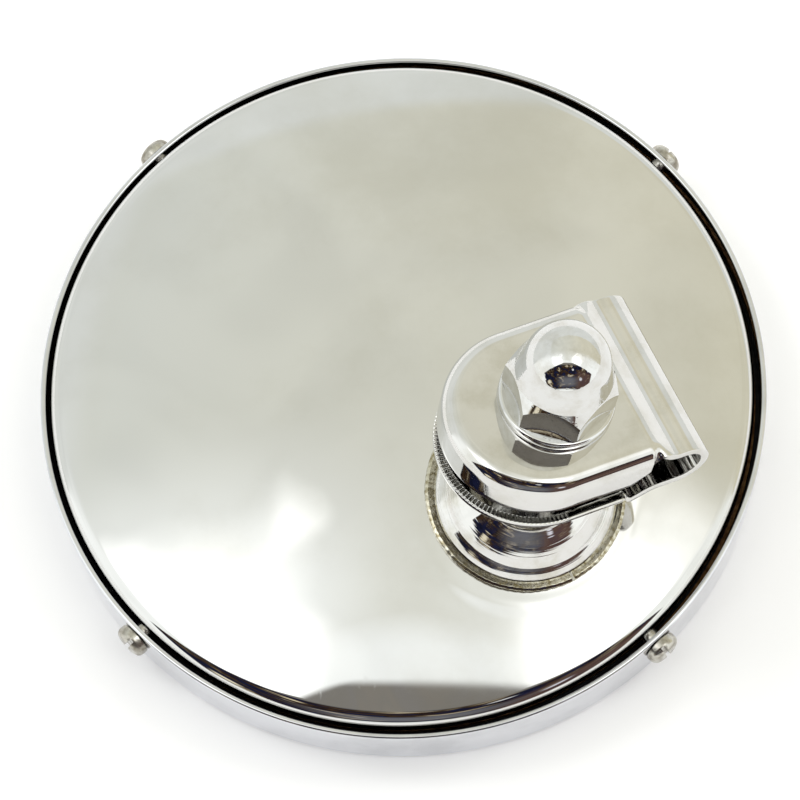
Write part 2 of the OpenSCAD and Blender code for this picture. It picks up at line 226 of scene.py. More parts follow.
def add(tree, kind, settings=None, **inputs):
    """Adds a node: settings are its own properties, and inputs are values, or what to link.

    An input is named by its socket's name with underscores for spaces, or by i and its number.
    What to link is a socket, or a node, which stands for its first output.
    """
    made = tree.nodes.new(kind)
    for key, value in (settings or {}).items():
        setattr(made, key, value)
    for key, value in inputs.items():
        by_number = key[0] == "i" and key[1:].isdigit()
        socket = made.inputs[int(key[1:]) if by_number else key.replace("_", " ")]
        if isinstance(value, bpy.types.Node):
            value = value.outputs[0]
        if isinstance(value, bpy.types.NodeSocket):
            tree.links.new(value, socket)
        else:
            socket.default_value = value
    return made


def per_mm(size):
    """A texture's scale for a pattern of this size in millimetres, on coordinates in metres."""
    return 1.0 / (size * MM)


def empty_material(name):
    """A material with a principled shader and an output, and its tree."""
    material = bpy.data.materials.get(name)
    if material:
        bpy.data.materials.remove(material)
    material = bpy.data.materials.new(name)
    material.use_nodes = True
    tree = material.node_tree
    tree.nodes.clear()
    shader = add(tree, "ShaderNodeBsdfPrincipled")
    add(tree, "ShaderNodeOutputMaterial", i0=shader.outputs[0])
    return material, tree, shader


# Distance between the pits in old plate
PIT_MM = 0.55


def plated(name, colour="#DADBDC", dull="#C6C5C0", rough=(0.02, 0.08), haze_mm=30.0, ripple_mm=22.0,
           ripple=0.1, scratch_mm=0.35, scratch=0.05, pits=0.0, turned=None):
    """Bright chrome plate over nickel: a mirror that shows haze, wipe marks, ripples and pits.

    Haze lifts the roughness in patches, ripples bend the reflections a little, and long thin noise
    gives wipe marks. turned is (origin, axes, pitch in mm, depth): fine rings left by the lathe.
    """
    material, tree, shader = empty_material(name)
    where = add(tree, "ShaderNodeTexCoord").outputs["Object"]
    haze = add(tree, "ShaderNodeTexNoise", Vector=where, Scale=per_mm(haze_mm), Detail=6.0, Roughness=0.6)
    long = add(tree, "ShaderNodeMapping", Vector=where, Rotation=(0.2, 0.1, 0.7), Scale=(1.0, 0.05, 1.0))
    wipes = add(tree, "ShaderNodeTexNoise", Vector=long, Scale=per_mm(scratch_mm), Detail=3.0)
    wipe = add(tree, "ShaderNodeMapRange", Value=wipes, From_Min=0.6, From_Max=0.75)
    patch = add(tree, "ShaderNodeMapRange", SMOOTH, Value=haze, From_Min=0.42, From_Max=0.72)
    both = add(tree, "ShaderNodeMath", {"operation": "MAXIMUM"}, i0=patch, i1=wipe)
    gloss = add(tree, "ShaderNodeMapRange", Value=both, To_Min=rough[0], To_Max=rough[1])
    tree.links.new(gloss.outputs[0], shader.inputs["Roughness"])
    tint = add(tree, "ShaderNodeMix", COLOURS, i0=patch, i6=linear(colour), i7=linear(dull))
    tree.links.new(tint.outputs[2], shader.inputs["Base Color"])
    shader.inputs["Metallic"].default_value = 1.0
    wave = add(tree, "ShaderNodeTexNoise", Vector=where, Scale=per_mm(ripple_mm), Detail=1.0)
    bump = add(tree, "ShaderNodeBump", Height=wave, Strength=ripple, Distance=0.3 * MM)
    bump = add(tree, "ShaderNodeBump", Height=wipe, Strength=scratch, Distance=0.004 * MM, Normal=bump)
    if pits:
        specks = add(tree, "ShaderNodeTexVoronoi", Vector=where, Scale=per_mm(PIT_MM))
        dips = add(tree, "ShaderNodeMapRange", Value=specks, From_Max=0.35)
        bump = add(tree, "ShaderNodeBump", Height=dips, Strength=pits, Distance=0.03 * MM, Normal=bump)
    if turned:
        origin, axes, pitch, depth = turned
        spin = Matrix([list(row) for row in axes]).to_euler()
        local = add(tree, "ShaderNodeMapping", {"vector_type": "TEXTURE"}, Vector=where,
                    Location=tuple(float(v) * MM for v in origin), Rotation=tuple(spin))
        flat = add(tree, "ShaderNodeVectorMath", {"operation": "MULTIPLY"}, i0=local, i1=(1.0, 1.0, 0.6))
        far = add(tree, "ShaderNodeVectorMath", {"operation": "LENGTH"}, i0=flat)
        rings = add(tree, "ShaderNodeTexNoise", {"noise_dimensions": "1D"}, W=far.outputs[1],
                    Scale=per_mm(pitch), Detail=2.0)
        bump = add(tree, "ShaderNodeBump", Height=rings, Strength=depth, Distance=0.05 * MM, Normal=bump)
    tree.links.new(bump.outputs[0], shader.inputs["Normal"])
    return material


def worked_metal(name, colour, stain, rough, grain_mm, depth, stain_mm=2.5):
    """A bare or thinly plated metal: stains in patches, and a fine grain from how it was made."""
    material, tree, shader = empty_material(name)
    where = add(tree, "ShaderNodeTexCoord").outputs["Object"]
    blotch = add(tree, "ShaderNodeTexNoise", Vector=where, Scale=per_mm(stain_mm), Detail=5.0)
    patch = add(tree, "ShaderNodeMapRange", Value=blotch, From_Min=0.4, From_Max=0.68)
    tint = add(tree, "ShaderNodeMix", COLOURS, i0=patch, i6=linear(colour), i7=linear(stain))
    tree.links.new(tint.outputs[2], shader.inputs["Base Color"])
    gloss = add(tree, "ShaderNodeMapRange", Value=patch, To_Min=rough[0], To_Max=rough[1])
    tree.links.new(gloss.outputs[0], shader.inputs["Roughness"])
    shader.inputs["Metallic"].default_value = 1.0
    grain = add(tree, "ShaderNodeTexNoise", Vector=where, Scale=per_mm(grain_mm), Detail=3.0)
    bump = add(tree, "ShaderNodeBump", Height=grain, Strength=depth, Distance=0.05 * MM)
    tree.links.new(bump.outputs[0], shader.inputs["Normal"])
    return material


def soft_stock(name, colour, fleck, rough, fleck_mm, depth, specular):
    """Rubber, card or cork: a matt body with flecks of another shade and a grainy face."""
    material, tree, shader = empty_material(name)
    where = add(tree, "ShaderNodeTexCoord").outputs["Object"]
    cells = add(tree, "ShaderNodeTexVoronoi", Vector=where, Scale=per_mm(fleck_mm))
    fine = add(tree, "ShaderNodeTexNoise", Vector=where, Scale=per_mm(fleck_mm / 3), Detail=4.0)
    mixed = add(tree, "ShaderNodeMath", {"operation": "MULTIPLY"}, i0=cells, i1=fine)
    patch = add(tree, "ShaderNodeMapRange", Value=mixed, From_Min=0.05, From_Max=0.4)
    tint = add(tree, "ShaderNodeMix", COLOURS, i0=patch, i6=linear(colour), i7=linear(fleck))
    tree.links.new(tint.outputs[2], shader.inputs["Base Color"])
    gloss = add(tree, "ShaderNodeMapRange", Value=fine, From_Min=0.3, From_Max=0.7, To_Min=rough - 0.1,
                To_Max=rough)
    tree.links.new(gloss.outputs[0], shader.inputs["Roughness"])
    shader.inputs["Specular IOR Level"].default_value = specular
    bump = add(tree, "ShaderNodeBump", Height=patch, Strength=depth, Distance=0.1 * MM)
    tree.links.new(bump.outputs[0], shader.inputs["Normal"])
    return material


def silvered_glass():
    """Silvered float glass: a near-perfect cool mirror, with faint dust in patches."""
    material, tree, shader = empty_material("silvered_glass")
    where = add(tree, "ShaderNodeTexCoord").outputs["Object"]
    dust = add(tree, "ShaderNodeTexNoise", Vector=where, Scale=per_mm(14), Detail=8.0, Roughness=0.7)
    patch = add(tree, "ShaderNodeMapRange", Value=dust, From_Min=0.5, From_Max=0.8)
    tint = add(tree, "ShaderNodeMix", COLOURS, i0=patch, i6=linear("#E4E9E9"), i7=linear("#D5DAD8"))
    tree.links.new(tint.outputs[2], shader.inputs["Base Color"])
    gloss = add(tree, "ShaderNodeMapRange", Value=patch, To_Min=0.0, To_Max=0.06)
    tree.links.new(gloss.outputs[0], shader.inputs["Roughness"])
    shader.inputs["Metallic"].default_value = 1.0
    shader.inputs["Coat Weight"].default_value = 1.0
    shader.inputs["Coat Roughness"].default_value = 0.01
    return material


# ---------- settings ----------


def size(name, default, description, low=0.01):
    """A length in millimetres for the panel."""
    return bpy.props.FloatProperty(name=name, description=description, default=default, min=low,
                                   precision=2)


class MirrorHeadSettings(bpy.types.PropertyGroup):
    """Sizes of the rim, the glass and the domed back."""

    rim_radius: size("Rim radius", 63.5, "Outer radius of the rim, in millimetres")
    rim_height: size("Rim height", 12.0, "Height of the rim's wall, in millimetres")
    rim_thickness: size("Rim thickness", 1.0, "Thickness of the rim's sheet, in millimetres")
    lip_radius: size("Lip radius", 60.2, "Inner radius of the front lip, in millimetres")
    glass_thickness: size("Glass thickness", 2.5, "Thickness of the mirror glass, in millimetres")
    skirt_radius: size("Skirt radius", 61.6, "Outer radius of the back's skirt, in millimetres")
    shell_shift: size("Back's shift", -0.25, "How far the back sits off centre, in millimetres", -1.0)
    dome_radius: size("Dome radius", 187.0, "Radius of the domed back, in millimetres")
    shoulder_radius: size("Shoulder radius", 3.2, "Radius of the back's shoulder, in millimetres")
    shell_thickness: size("Back's thickness", 1.0, "Thickness of the back's sheet, in millimetres")
    screw_height: size("Screw height", 8.4, "Height of the rim screws, in millimetres")
    screw_head: size("Screw head", 6.0, "Diameter of a rim screw's head, in millimetres")


class MirrorJointSettings(bpy.types.PropertyGroup):
    """Sizes of the ball joint."""

    ball_height: size("Ball height", 3.5, "Height of the ball's centre over the back, in millimetres")
    ball_radius: size("Ball radius", 7.0, "Radius of the ball, in millimetres")
    ring_radius: size("Seat ring radius", 17.3, "Outer radius of the split seat ring, in millimetres")
    flange_radius: size("Flange radius", 15.7, "Radius of the housing's flange, in millimetres")
    foot_radius: size("Dome foot radius", 13.9, "Radius of the foot of the housing's dome, in millimetres")
    spigot_radius: size("Spigot radius", 11.0, "Radius of the housing's spigot, in millimetres")
    collar_radius: size("Collar radius", 8.0, "Radius of the stud's collar, in millimetres")
    stud_radius: size("Stud radius", 4.75, "Radius over the stud's thread, in millimetres")
    thread_pitch: size("Thread pitch", 1.27, "Pitch of the stud's thread, in millimetres")


class MirrorClampSettings(bpy.types.PropertyGroup):
    """Sizes of the folded strap, the washer and the nut."""

    jaw_height: size("Jaw height", 16.4, "Height of the lower jaw over the ball's centre, in millimetres")
    strap_width: size("Strap width", 31.75, "Width of the strap, in millimetres")
    strap_thickness: size("Strap thickness", 1.5, "Thickness of the strap, in millimetres")
    strap_height: size("Strap height", 14.3, "Height over both jaws, in millimetres")
    eye_reach: size("Eye reach", 22.0, "From the stud to the outside of the fold, in millimetres")
    low_step: size("Lower step", 1.9, "Rise of the lower sheet before the eye, in millimetres")
    bar_radius: size("Bar radius", MOUNTS["bar_eye"]["dims"]["r_mm"], "Radius of the bar, in millimetres")
    round_offset: size("Round end's offset", 3.2, "From the stud to the round end's centre, in millimetres")
    bead_pitch: size("Bead pitch", 0.75, "Pitch of the beads on the lower lip, in millimetres")
    washer_radius: size("Washer radius", 9.8, "Radius of the plain washer, in millimetres")
    washer_thickness: size("Washer thickness", 1.6, "Thickness of the plain washer, in millimetres")
    hex_radius: size("Hexagon radius", 9.6, "Radius over the nut's corners, in millimetres")
    hex_turn: bpy.props.FloatProperty(name="Hexagon turn", description="Turn of the nut about the stud",
                                      default=math.radians(25), subtype="ANGLE", unit="ROTATION")
    dome_radius: size("Nut's dome", 7.4, "Radius of the nut's dome, in millimetres")


class MirrorFinishSettings(bpy.types.PropertyGroup):
    """Colours of the stage."""

    floor_colour: bpy.props.FloatVectorProperty(name="Floor", description="Colour of the floor",
                                                subtype="COLOR", size=4, min=0, max=1,
                                                default=linear("#F4F4F6"))
    wall_colour: bpy.props.FloatVectorProperty(name="Light tent", description="Colour of the light tent",
                                               subtype="COLOR", size=4, min=0, soft_max=2,
                                               default=(0.84, 0.86, 0.79, 1.0))
    warm_colour: bpy.props.FloatVectorProperty(name="Warm side",
                                               description="Colour of the tent's right side",
                                               subtype="COLOR", size=4, min=0, soft_max=2,
                                               default=(0.85, 0.82, 0.66, 1.0))


# ---------- head ----------


class MIRROR_OT_rim(bpy.types.Operator):
    """Turns the chromed rim, with its rounded top edge and its front lip"""

    bl_idname = "mirror.rim"
    bl_label = "Rim"

    def execute(self, context):
        head = context.scene.mirror_head
        bore = head.rim_radius - head.rim_thickness
        profile = rounded([
            [head.lip_radius, 0, 0.3], [head.rim_radius, 0, 1.4], [head.rim_radius, head.rim_height, 0.45],
            [bore, head.rim_height, 0.35], [bore, head.rim_thickness, 0.2],
            [head.lip_radius, head.rim_thickness, 0.3]], 10)
        # Chrome plate on rolled brass: a bright mirror with long wipe marks round the wall
        finish = plated("rim_chrome", "#DFE0E4", "#CDCED2", (0.03, 0.1), 18, 30, 0.06)
        mesh = new_mesh("rim", *revolve(profile, 384))
        add_piece("rim_ring", mesh, finish, "head", "rim_chrome", "rim")
        return {"FINISHED"}


class MIRROR_OT_glass(bpy.types.Operator):
    """Makes the bevelled mirror glass and the rubber gasket round it"""

    bl_idname = "mirror.glass"
    bl_label = "Glass and gasket"

    def execute(self, context):
        head = context.scene.mirror_head
        bore = head.rim_radius - head.rim_thickness
        low = head.rim_thickness + 0.5
        high = low + head.glass_thickness
        edge = bore - 0.8
        profile = np.array([[0, low], [edge - 0.4, low], [edge, low + 0.4], [edge, high - 0.4],
                            [edge - 0.4, high], [0, high]])
        # Silvered float glass: a cool, near-perfect mirror
        mesh = new_mesh("glass", *revolve(profile, 256, False), crease=20)
        add_piece("mirror_pane", mesh, silvered_glass(), "head", "mirror_glass", "mirror_glass")
        gap = 0.02
        lip = head.lip_radius + 0.4
        profile = rounded([[lip, head.rim_thickness + gap, 0.1], [bore - gap, head.rim_thickness + gap, 0.1],
                           [bore - gap, high, 0.1], [edge + gap, high, 0.1], [edge + gap, low - gap, 0.1],
                           [lip, low - gap, 0.15]], 4)
        # Black rubber, moulded: matt, with a faint bloom
        finish = soft_stock("moulded_rubber", "#1B1B1C", "#2A2A2B", 0.75, 1.2, 0.2, 0.35)
        mesh = new_mesh("gasket", *revolve(profile, 256))
        add_piece("gasket_ring", mesh, finish, "head", "gasket_rubber", "glass_gasket")
        return {"FINISHED"}


class MIRROR_OT_back(bpy.types.Operator):
    """Presses the domed back with its rounded shoulder, its skirt and the hole for the ball housing"""

    bl_idname = "mirror.back"
    bl_label = "Domed back"

    def execute(self, context):
        head, joint = context.scene.mirror_head, context.scene.mirror_joint
        around = 384
        arc_r = head.skirt_radius - head.shoulder_radius
        shoulder_z = head.rim_height - 1
        dome_z = shoulder_z - math.sqrt((head.dome_radius - head.shoulder_radius) ** 2 - arc_r**2)
        edge_angle = math.degrees(math.asin(arc_r / (head.dome_radius - head.shoulder_radius)))
        hole = BALL - HOUSING_AXIS * joint.ball_height - np.array([head.shell_shift, 0, 0])
        mouth, skirt_low = joint.spigot_radius + 0.1, 5.9
        swell_h, swell_r, swell_w = 0.12, 19.2, 1.7
        phi = np.linspace(0, 2 * math.pi, around, endpoint=False)[:, None]

        def skin(inset):
            """Points from the hole out over the dome and the shoulder, and down the skirt.

            On the dome a plan point slides from the hole's circle to the dome's edge, and its height
            is the root of the sphere's radius squared less its distance from the axis squared.
            """
            radius = head.dome_radius - inset
            rim_r = radius * math.sin(math.radians(edge_angle))
            share = np.linspace(0, 1, 150)[None, :] ** 1.15
            x = (hole[0] + mouth * np.cos(phi)) * (1 - share) + rim_r * np.cos(phi) * share
            y = (hole[1] + mouth * np.sin(phi)) * (1 - share) + rim_r * np.sin(phi) * share
            # The sheet is dented a little on the near side of the joint: a smooth swell in a ring
            away = np.hypot(x - hole[0], y - hole[1])
            near = np.clip(-np.sin(phi - 0.25), 0, 1) ** 1.5
            swell = swell_h * near * np.exp(-(((away - swell_r) / swell_w) ** 2))
            dome = np.stack([x, y, dome_z + np.sqrt(radius**2 - x**2 - y**2) + swell], axis=-1)
            bend = np.radians(np.linspace(edge_angle, 90, 14))[None, 1:]
            r = arc_r + (head.shoulder_radius - inset) * np.sin(bend)
            z = shoulder_z + (head.shoulder_radius - inset) * np.cos(bend) + 0 * phi
            shoulder = np.stack([r * np.cos(phi), r * np.sin(phi), z], axis=-1)
            z = np.linspace(shoulder_z, skirt_low, 6)[None, 1:] + 0 * phi
            r = head.skirt_radius - inset + 0 * z
            skirt = np.stack([r * np.cos(phi), r * np.sin(phi), z], axis=-1)
            return np.concatenate([dome, shoulder, skirt], axis=1)

        outside, inside = skin(0.0), skin(head.shell_thickness)
        points = np.concatenate([outside, inside[:, ::-1]], axis=1)
        rows, columns = points.shape[:2]
        points = points.reshape(-1, 3) + np.array([head.shell_shift, 0, 0])
        mesh = new_mesh("back", points, grid_faces(rows, columns, True, True))
        # Chrome plate on pressed sheet: shallow ripples, soft haze and wipe marks
        finish = plated("shell_chrome", "#DCDCDB", "#D2D1CD", (0.02, 0.075), 45, 34, 0.12, 0.5, 0.06)
        add_piece("domed_back", mesh, finish, "head", "shell_chrome", "back_shell")
        return {"FINISHED"}


class MIRROR_OT_screws(bpy.types.Operator):
    """Makes the four slotted rim screws with rounded heads"""

    bl_idname = "mirror.screws"
    bl_label = "Rim screws"

    def execute(self, context):
        head = context.scene.mirror_head
        # Worn nickel plate on steel: duller and warmer than the chrome, stained in small patches
        finish = worked_metal("worn_nickel", "#C9C6BE", "#8F897D", (0.16, 0.4), 0.25, 0.25, 1.6)
        r, crown_r = head.screw_head / 2, 1.25
        shank = [[0, -6, 0], [1.2, -6, 0], [1.5, -5.7, 0], [1.5, 0, 0], [r - 0.15, 0, 0], [r, 0.15, 0]]
        profile = np.vstack([shank, arc(r - crown_r, 0.95, crown_r, 0, 80, 14), [[0, 2.3, 0]]])[:, :2]
        box = np.array([[x, y, z] for x in (-0.4, 0.4) for y in (-r - 1, r + 1) for z in (1.35, 3.5)])
        sides = np.array([[0, 1, 3, 2], [4, 6, 7, 5], [0, 4, 5, 1], [2, 3, 7, 6], [0, 2, 6, 4], [1, 5, 7, 3]])
        # How far each slot is turned from the upright, in degrees
        for k, turn in enumerate((90, 0, 75, 100)):
            a, slot = math.radians(45 + 90 * k), math.radians(turn)
            out = np.array([math.cos(a), math.sin(a), 0])
            # The head's own X points down before the slot is turned
            side = np.array([-math.sin(a), math.cos(a), 0])
            down = np.array([0, 0, -1.0])
            x = down * math.cos(slot) + side * math.sin(slot)
            axes = np.stack([x, np.cross(out, x), out], axis=1)
            origin = out * (head.rim_radius + 0.08) + np.array([0, 0, head.screw_height])
            points, faces = revolve(profile, 64, False)
            obj = add_piece(f"rim_screw_{k + 1}", new_mesh("rim_screw", placed(points, origin, axes), faces),
                            finish, "head", "screw_steel", *(["rim_screws"] if k == 0 else []))
            cut(obj, placed(box, origin, axes), sides)
            soften(obj, 0.08, 2, 40)
        return {"FINISHED"}


# ---------- ball joint ----------


class MIRROR_OT_seat_ring(bpy.types.Operator):
    """Bends the thin split ring that beds the housing on the back"""

    bl_idname = "mirror.seat_ring"
    bl_label = "Seat ring"

    def execute(self, context):
        head, joint = context.scene.mirror_head, context.scene.mirror_joint
        inner, outer = joint.spigot_radius + 0.1, joint.ring_radius
        dome = head.dome_radius
        r = np.linspace(inner, outer, 8)
        under = np.stack([r, np.sqrt(dome**2 - r**2) - dome + 0.01, 0 * r], axis=1)
        over = [[outer, under[-1, 1], 0.1], [outer, 0.42, 0.3], [outer - 0.55, 0.64, 0.3],
                [outer - 1.3, 0.6, 0.1], [inner, 0.6, 0.0]]
        profile = rounded(np.vstack([under[:-1], over]), 6)
        # The profile is carried round all but the split, which lies a little off the housing's X axis
        split, around = 0.25 / outer, 300
        a = (math.radians(-15) + np.linspace(split, 2 * math.pi - split, around))[:, None]
        rough = 0.05 * np.sin(a * 47) * np.sin(a * 31 + 1)
        radius = profile[None, :, 0] + rough * (profile[None, :, 0] > outer - 1.2)
        points = np.stack([radius * np.cos(a), radius * np.sin(a), profile[None, :, 1] + 0 * a], axis=-1)
        count = len(profile)
        faces = grid_faces(around, count, False, True).tolist()
        faces += [list(range(count)), list(range((around - 1) * count, around * count))]
        origin = BALL - HOUSING_AXIS * joint.ball_height
        mesh = new_mesh("seat_ring", placed(points.reshape(-1, 3), origin, HOUSING), faces)
        # Pale brass wire pressed flat, its plate worn through: olive gold and white by turns
        finish = worked_metal("worn_brass_ring", "#CFCBBB", "#8C8160", (0.1, 0.25), 1.1, 0.35, 0.7)
        add_piece("seat_ring_band", mesh, finish, "head", "seat_ring_brass", "seat_ring")
        return {"FINISHED"}


class MIRROR_OT_housing(bpy.types.Operator):
    """Turns the ball housing: flange, bead, dome, socket and spigot"""

    bl_idname = "mirror.housing"
    bl_label = "Ball housing"

    def execute(self, context):
        joint = context.scene.mirror_joint
        foot, flange = joint.foot_radius, joint.flange_radius
        ball, up = joint.ball_radius + 0.08, joint.ball_height
        dome_r, flange_z = 16.5, 2.7
        spigot_end, bore, lip_r = -8.6, 8.6, 8.6
        dome_z = flange_z - math.sqrt(dome_r**2 - foot**2)
        mouth = math.degrees(math.acos(6 / ball))
        profile = np.vstack([
            [[bore, spigot_end, 0], [joint.spigot_radius, spigot_end, 0], [joint.spigot_radius, 0.6, 0],
             [flange, 0.6, 0]],
            # The flange's broad band, a shallow arc from its edge up to the dome's foot
            arc(flange - 5.28, flange_z - 4.79, 6.0, 30.5, 51.5, 12),
            [[foot + 0.25, flange_z - 0.12, 0]],
            arc(0, dome_z, dome_r, math.degrees(math.acos(foot / dome_r)),
                math.degrees(math.acos(lip_r / dome_r)), 26),
            [[8.2, 9.25, 0], [7.5, 9.3, 0], [7.15, 9.15, 0]],
            arc(0, up, ball, mouth, 0, 20),
            [[bore, up, 0]]])[:, :2]
        origin = BALL - HOUSING_AXIS * up
        points, faces = revolve(profile, 256)
        # Chrome over turned brass: the lathe's rings still show through the plate
        finish = plated("housing_chrome", "#DDDCDA", "#C9C6BC", (0.02, 0.09), 5, 12, 0.05, 0.3, 0.05, 0.0,
                        (origin, HOUSING, 0.35, 0.5))
        mesh = new_mesh("housing", placed(points, origin, HOUSING), faces)
        add_piece("ball_housing_shell", mesh, finish, "head", "housing_chrome", "ball_housing")
        return {"FINISHED"}


class MIRROR_OT_stud(bpy.types.Operator):
    """Turns the ball stud and cuts its thread as a helix"""

    bl_idname = "mirror.stud"
    bl_label = "Ball stud"

    def execute(self, context):
        joint, clamp = context.scene.mirror_joint, context.scene.mirror_clamp
        ball, neck, stud = joint.ball_radius, 3.6, joint.stud_radius
        collar_h, tooth = 3.6, 0.36
        top = clamp.jaw_height - 0.6
        low = top - collar_h
        end = clamp.jaw_height + clamp.strap_height + clamp.washer_thickness + 11.6
        body = np.vstack([
            arc(0, 0, ball, -90, math.degrees(math.acos(neck / ball)), 40),
            arc(neck + 3, low - 3, 3, 180, 115, 10),
            arc(joint.collar_radius - 1.3, low + 1.3, 1.3, -90, 0, 10),
            arc(joint.collar_radius - 1.0, top - 1.0, 1.0, 0, 90, 10)])[:, :2]
        body[0, 0] = 0
        rise = np.arange(top, end - 0.9, joint.thread_pitch / 8)
        thread = np.stack([np.full(len(rise), stud), rise], axis=1)
        tip = np.array([[stud - 0.9, end], [0, end]])
        profile = np.vstack([body, thread, tip])
        around = 96
        a = np.linspace(0, 2 * math.pi, around, endpoint=False)[:, None]
        r, z = profile[None, :, 0] + 0 * a, profile[None, :, 1] + 0 * a
        # The thread: the radius falls by a rounded tooth of the height over the pitch less the turn
        phase = (z / joint.thread_pitch - a / (2 * math.pi)) * 2 * math.pi
        row = np.arange(len(profile))
        on = (row >= len(body)) & (row < len(body) + len(thread))
        r = r - on[None, :] * tooth * (0.5 - 0.5 * np.cos(phase)) ** 0.8
        points = np.stack([r * np.cos(a), r * np.sin(a), z], axis=-1).reshape(-1, 3)
        faces = grid_faces(around, profile.shape[0], True, False)
        mesh = new_mesh("stud", placed(points, BALL, STUD), faces, 45)
        # Chrome over turned steel: bright, with faint rings from the lathe
        finish = plated("stud_chrome", "#DCDCDC", "#C8C6C0", (0.02, 0.09), 6, 10, 0.05, 0.3, 0.05, 0.0,
                        (BALL, STUD, 0.4, 0.3))
        add_piece("ball_stud_turned", mesh, finish, "stud", "stud_chrome", "ball_stud")
        return {"FINISHED"}


# ---------- clamp ----------


def bent_sheet(place, normal, across, bend, leg, radius, half_width, thickness, edge=0.25):
    """A sheet's section carried along stations, for one half of its width.

    At each station the outer face runs flat from the middle line, turns down through the bend's
    angle on an arc of the radius, and ends in a straight leg. The inner face is the outer one moved
    in by the thickness along its own normal, and a round edge joins the two. The flat's width is the
    half width less the radius times the bend's sine and the leg times its cosine.
    """
    bend, leg, radius = bend[:, None], leg[:, None], radius[:, None]
    flat = half_width - radius * np.sin(bend) - leg * np.cos(bend)
    s = np.linspace(0, 1, 9)[None, :]
    w1, h1, b1 = flat * s, 0 * flat * s, 0 * flat * s
    b2 = bend * np.linspace(0, 1, 10)[None, 1:]
    w2, h2 = flat + radius * np.sin(b2), -radius * (1 - np.cos(b2))
    s = np.linspace(0, 1, 6)[None, 1:]
    run = (leg - edge) * s
    w3 = w2[:, -1:] + run * np.cos(bend)
    h3 = h2[:, -1:] - run * np.sin(bend)
    b3 = bend + 0 * run
    w, h, b = np.hstack([w1, w2, w3]), np.hstack([h1, h2, h3]), np.hstack([b1, b2, b3])
    wi, hi = w - thickness * np.sin(b), h - thickness * np.cos(b)
    # The edge: a half round squashed to the edge's size
    t = np.linspace(0, math.pi, 9)[None, 1:-1]
    mid_w, mid_h = (w[:, -1:] + wi[:, -1:]) / 2, (h[:, -1:] + hi[:, -1:]) / 2
    along = np.sign(np.sin(t)) * np.abs(np.sin(t)) ** 0.5 * edge
    square = np.sign(np.cos(t)) * np.abs(np.cos(t)) ** 0.5
    ew = mid_w + along * np.cos(bend) + square * thickness / 2 * np.sin(bend)
    eh = mid_h - along * np.sin(bend) + square * thickness / 2 * np.cos(bend)
    w = np.hstack([w, ew, wi[:, ::-1]])[..., None]
    h = np.hstack([h, eh, hi[:, ::-1]])[..., None]
    return place[:, None, :] + w * across[:, None, :] + h * normal[:, None, :]


def eased_step(x, start, run, rise):
    """Height and slope of a smooth step: rise times (1 - cos(pi s)) / 2 at the share s of its run."""
    s = np.clip((x - start) / run, 0, 1)
    return rise * (1 - np.cos(math.pi * s)) / 2, rise * math.pi / 2 / run * np.sin(math.pi * s)


def smooth(share):
    """A share eased at both its ends: its square times three less twice itself."""
    return share * share * (3 - 2 * share)


